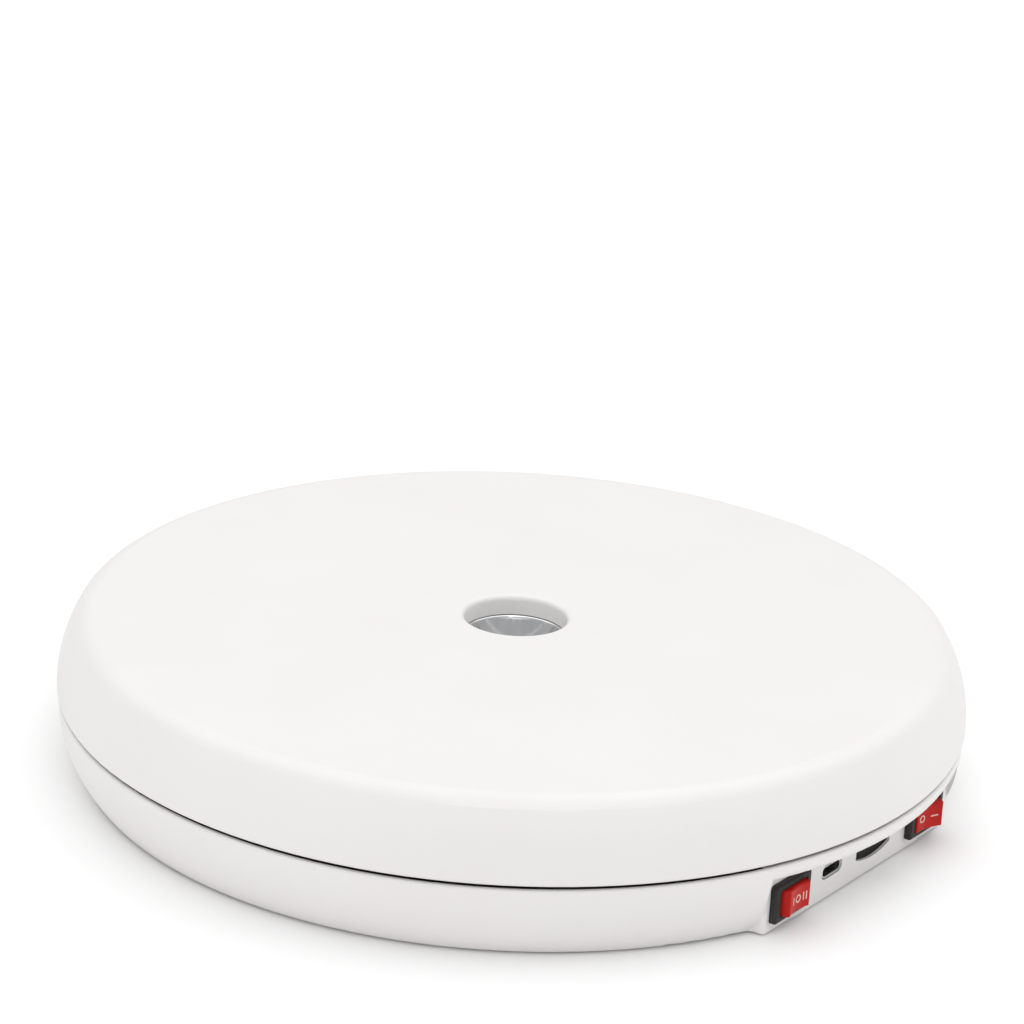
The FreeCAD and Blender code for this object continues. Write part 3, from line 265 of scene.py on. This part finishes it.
def board_green():
    """Solder mask with copper tracks showing through as a slightly raised pattern."""
    recipe = Recipe("board_green")
    tracks = recipe.node("ShaderNodeTexBrick", offset=0.5, squash=0.6)
    tracks.inputs["Scale"].default_value = 1.0 / (5.2 * MM)
    tracks.inputs["Mortar Size"].default_value = 0.035
    tracks.inputs["Mortar Smooth"].default_value = 0.25
    recipe.link(recipe.place, tracks.inputs["Vector"])
    grain = recipe.noise(1.2 * MM, 3.0)
    mask = recipe.colours(grain, (0.012, 0.1, 0.035), (0.018, 0.125, 0.045))
    lit = recipe.node("ShaderNodeMix", data_type="RGBA")
    lit.inputs["B"].default_value = (0.03, 0.2, 0.07, 1.0)
    recipe.link(mask, lit.inputs["A"])
    recipe.link(tracks.outputs["Fac"], lit.inputs["Factor"])
    recipe.colour(lit.outputs["Result"])
    recipe.rough(recipe.ranged(grain, 0.24, 0.36))
    recipe.relief(tracks.outputs["Fac"], 0.035 * MM)
    return recipe.material


def lamp_board():
    return plastic("lamp_board", (0.74, 0.75, 0.75), (0.8, 0.8, 0.8),
                   0.4 * MM, 0.004 * MM, 0.3, 0.42, 4 * MM).material


def lamp_chip():
    """The lamp's silicone dome over its yellow phosphor."""
    recipe = plastic("lamp_chip", (0.78, 0.6, 0.16), (0.84, 0.7, 0.26),
                     0.5 * MM, 0.002 * MM, 0.12, 0.2, 1.5 * MM)
    recipe.set(Coat_Weight=0.6, Coat_Roughness=0.05)
    return recipe.material


def mirror_chrome():
    """Bright vacuum metal on plastic, with faint upright polishing streaks."""
    recipe = metal("mirror_chrome", (0.8, 0.81, 0.82), (0.86, 0.87, 0.88), 0.035, 0.1,
                   (1, 1, 0.12), 1.4 * MM, 0.004 * MM)
    return recipe.material


def steel_screw():
    return metal("steel_screw", (0.52, 0.52, 0.53), (0.62, 0.62, 0.62), 0.25, 0.42).material


def bearing_steel():
    return metal("bearing_steel", (0.6, 0.6, 0.62), (0.7, 0.7, 0.71), 0.14, 0.26,
                 (1, 1, 6)).material


def bearing_brass():
    return metal("bearing_brass", (0.66, 0.45, 0.17), (0.75, 0.54, 0.24), 0.24, 0.38).material


def shaft_steel():
    return metal("shaft_steel", (0.56, 0.56, 0.58), (0.64, 0.64, 0.65), 0.18, 0.3,
                 (1, 1, 5)).material


def motor_metal():
    return metal("motor_metal", (0.5, 0.51, 0.53), (0.6, 0.6, 0.62), 0.28, 0.42,
                 (1, 1, 4)).material


def terminal_brass():
    return metal("terminal_brass", (0.7, 0.56, 0.26), (0.78, 0.64, 0.34), 0.24, 0.4).material


def socket_steel():
    return metal("socket_steel", (0.6, 0.6, 0.6), (0.7, 0.7, 0.7), 0.2, 0.34,
                 (4, 1, 1)).material


def speaker_metal():
    return metal("speaker_metal", (0.09, 0.09, 0.095), (0.14, 0.14, 0.145), 0.35, 0.5).material


SLOT_FINISHES = (
    white_shell, rubber_foot, dark_deck, steel_screw, grey_column, bearing_steel, bearing_brass,
    mirror_chrome, lamp_board, lamp_chip, gear_plastic, shaft_steel, motor_metal,
    bracket_plastic, roller_nylon, switch_black, switch_red, terminal_brass, board_green,
    socket_steel, socket_black, lamp_lens, battery_wrap, speaker_metal, speaker_paper,
    lead_jacket,
)


def finish_nodes():
    """Gives every carried-over node the finish that its slot names."""
    finishes = {make.__name__: make() for make in SLOT_FINISHES}
    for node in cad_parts.values():
        for slot in node.material_slots:
            slot.material = finishes[slot.material.name.split(".")[0]]


# ------------------------------------------------------------------ switch marks

def piece_from(name, shape, material):
    """A mesh object made from a bmesh, shaded smooth by angle."""
    mesh = bpy.data.meshes.new(name)
    bmesh.ops.recalc_face_normals(shape, faces=shape.faces)
    shape.to_mesh(mesh)
    shape.free()
    piece = bpy.data.objects.new(name, mesh)
    bpy.context.scene.collection.objects.link(piece)
    mesh.materials.append(material)
    for face in mesh.polygons:
        face.use_smooth = True
    mesh.set_sharp_from_angle(angle=math.radians(40))
    return piece


def rocker_place(side):
    """Turns a point on a level rocker's face into its place on the object at rest."""
    low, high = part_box(f"{side}_switch_housing")
    level = (low.z + high.z) / 2
    pin = Vector(((low.x + high.x) / 2, low.y + BEZEL_TO_PIN, level))
    turn = Matrix.Rotation(math.radians(ROCKER_REST_TURN[side]), 4, "Z")
    return Matrix.Translation(pin) @ turn


def face_point(across, up, proud):
    """A point over the rocker's dished face, with the pin as origin."""
    rise = ROCKER_FACE_RISE + across * across / (2 * ROCKER_FACE_HOLLOW)
    return Vector((across, -(rise + proud), up))


def stroke_loop(start, end, width, steps=6):
    """The outline of a straight stroke with round ends."""
    run = end - start
    along = run.normalized()
    across = Vector((-along.y, along.x))
    points = []
    for centre, first in ((end, -90), (start, 90)):
        for step in range(steps + 1):
            angle = math.radians(first + 180 * step / steps)
            reach = along * math.cos(angle) + across * math.sin(angle)
            points.append(centre + reach * width / 2)
    return points


def add_bar(shape, start, end):
    """A raised bar on the rocker's face between two points of the mark's drawing."""
    outline = stroke_loop(Vector(start), Vector(end), MARK_STROKE)
    top = [shape.verts.new(face_point(p.x, p.y, MARK_PROUD)) for p in outline]
    bottom = [shape.verts.new(face_point(p.x, p.y, -MARK_SUNK)) for p in outline]
    shape.faces.new(top)
    shape.faces.new(reversed(bottom))
    for i in range(len(outline)):
        j = (i + 1) % len(outline)
        shape.faces.new((top[i], bottom[i], bottom[j], top[j]))


def add_ring(shape, middle, radius, steps=32):
    """A raised ring at mid-height on the rocker's face."""
    outer, inner = radius + MARK_STROKE / 2, radius - MARK_STROKE / 2
    rings = []
    for reach, proud in ((outer, -MARK_SUNK), (outer, MARK_PROUD),
                         (inner, MARK_PROUD), (inner, -MARK_SUNK)):
        ring = []
        for step in range(steps):
            angle = 2 * math.pi * step / steps
            across = middle + reach * math.cos(angle)
            up = reach * math.sin(angle)
            ring.append(shape.verts.new(face_point(across, up, proud)))
        rings.append(ring)
    for first, second in zip(rings, rings[1:] + rings[:1]):
        for i in range(steps):
            j = (i + 1) % steps
            shape.faces.new((first[i], first[j], second[j], second[i]))


def make_switch_marks(ink):
    """The three-way switch's bar, ring and double bar, and the other's ring and dash."""
    left = bmesh.new()
    for across in LEFT_BARS:
        add_bar(left, (across, -BAR_HALF_HEIGHT), (across, BAR_HALF_HEIGHT))
    add_ring(left, LEFT_RING, LEFT_RING_RADIUS)
    right = bmesh.new()
    add_ring(right, RIGHT_RING, RIGHT_RING_RADIUS)
    add_bar(right, (RIGHT_DASH[0], 0), (RIGHT_DASH[1], 0))
    for side, shape in (("left", left), ("right", right)):
        piece = piece_from(f"{side}_switch_marks", shape, ink)
        piece.data.transform(rocker_place(side))
        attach(piece, f"{side}_rocker_body")


# ------------------------------------------------------------------ studio

CAMERA_PLACE = Vector((-733.6, -525.4, 406.92)) * MM
CAMERA_AIM = Vector((158.64, 117.35, 0.0)) * MM
CAMERA_ROLL = math.radians(2.964)
CAMERA_LENS = 124.48                                   # mm, on the sensor below
CAMERA_SENSOR = 36.0
FLOOR_HALF = 20.0                                      # metres
FLOOR_GLOW = 0.01
SKY_STRENGTH = 0.48
WELL = (0, 0, 0.02)                                    # where two of the lamps point


def make_camera():
    data = bpy.data.cameras.new("camera")
    data.lens = CAMERA_LENS
    data.sensor_width = CAMERA_SENSOR
    data.clip_start = 0.05
    data.clip_end = 60.0
    camera = bpy.data.objects.new("camera", data)
    bpy.context.scene.collection.objects.link(camera)
    camera.location = CAMERA_PLACE
    look = (CAMERA_AIM - CAMERA_PLACE).to_track_quat("-Z", "Y").to_matrix()
    camera.rotation_euler = (look @ Matrix.Rotation(CAMERA_ROLL, 3, "Z")).to_euler()
    bpy.context.scene.camera = camera


def make_lamp(name, place, aim, size, power, mirrored=True):
    """A rectangular lamp, size in metres and power in watts, that points at aim.

    A lamp that isn't mirrored lights surfaces but doesn't show in their gloss.
    """
    data = bpy.data.lights.new(name, "AREA")
    data.shape = "RECTANGLE"
    data.size, data.size_y = size
    data.energy = power
    lamp = bpy.data.objects.new(name, data)
    bpy.context.scene.collection.objects.link(lamp)
    lamp.location = place
    lamp.rotation_euler = (Vector(aim) - Vector(place)).to_track_quat("-Z", "Y").to_euler()
    lamp.visible_glossy = mirrored


def make_floor():
    """A pale sheet that runs out of sight in every direction."""
    shape = bmesh.new()
    signs = ((-1, -1), (1, -1), (1, 1), (-1, 1))
    shape.faces.new([shape.verts.new((x * FLOOR_HALF, y * FLOOR_HALF, 0)) for x, y in signs])
    recipe = Recipe("studio_floor")
    tone = recipe.noise(300 * MM, 2.0)
    recipe.colour(recipe.colours(tone, (0.925, 0.925, 0.925), (0.94, 0.94, 0.94)))
    recipe.rough(recipe.ranged(tone, 0.85, 0.95))
    recipe.set(Specular_IOR_Level=0.1, Emission_Color=(1, 1, 1, 1),
               Emission_Strength=FLOOR_GLOW)
    piece_from("studio_floor", shape, recipe.material)


def make_world():
    world = bpy.data.worlds.new("studio")
    world.use_nodes = True
    sky = world.node_tree.nodes["Background"]
    sky.inputs["Color"].default_value = (1.0, 1.0, 1.0, 1.0)
    sky.inputs["Strength"].default_value = SKY_STRENGTH
    bpy.context.scene.world = world


def make_studio():
    make_floor()
    make_world()
    make_lamp("overhead", place=(0.6, 0.45, 2.6), aim=(0.6, 0.45, 0), size=(5.0, 5.0),
              power=85.0)
    make_lamp("left", place=(-3.0, 0.3, 0.78), aim=WELL, size=(2.4, 1.2), power=13.6,
              mirrored=False)
    make_lamp("front", place=(-1.0, -0.6, 1.2), aim=WELL, size=(1.0, 1.0), power=2.4)
    make_lamp("right", place=(1.8, -2.6, 0.8), aim=(0, 0, 0), size=(2.4, 1.2), power=18.4,
              mirrored=False)
    make_camera()
    bpy.context.scene.view_settings.view_transform = "Standard"


# ------------------------------------------------------------------ assembly

finish_nodes()
make_switch_marks(switch_print())
make_studio()
